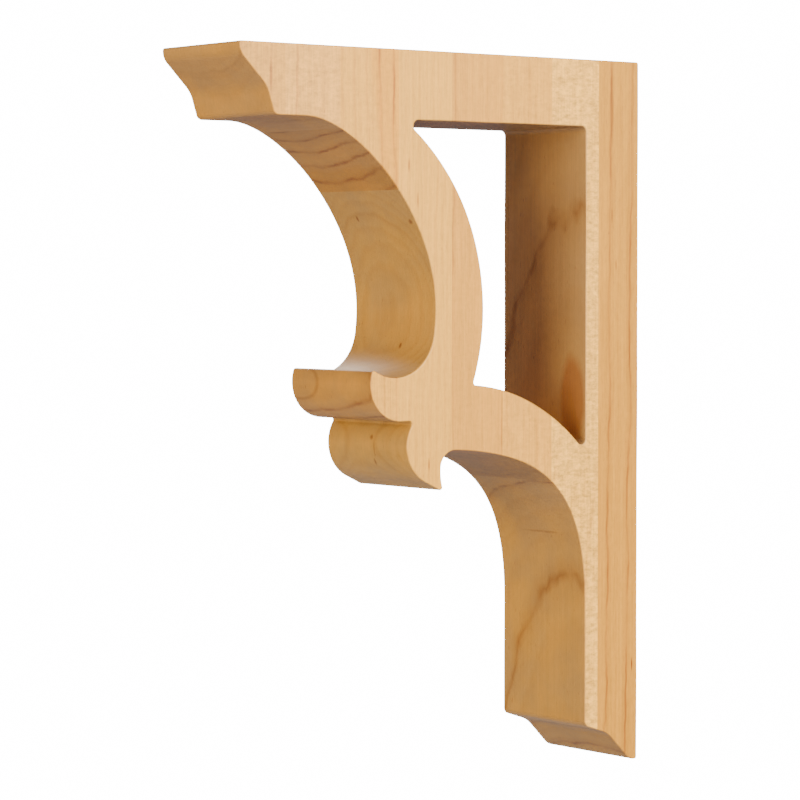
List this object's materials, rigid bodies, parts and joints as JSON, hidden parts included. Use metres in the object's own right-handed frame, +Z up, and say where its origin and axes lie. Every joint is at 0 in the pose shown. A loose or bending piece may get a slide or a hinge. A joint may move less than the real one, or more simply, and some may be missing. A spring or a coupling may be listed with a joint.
{
  "type": "wooden corbel bracket",
  "caption": "Solid wooden corbel bracket with a curved arm, rolled beads, an open window and ogee ends, to carry a shelf or counter from a wall.",
  "frame": {"origin": "centre of the flat back face that is fixed to the wall", "axes": "+Z up, -Y out from the wall towards the arm's tip, X across the bracket's width"},
  "size_m": [0.0508, 0.1937, 0.2794],
  "materials": {
    "maple": "sanded"
  },
  "bodies": {
    "root": {"corbel_bracket": "maple"}
  },
  "joints": []
}
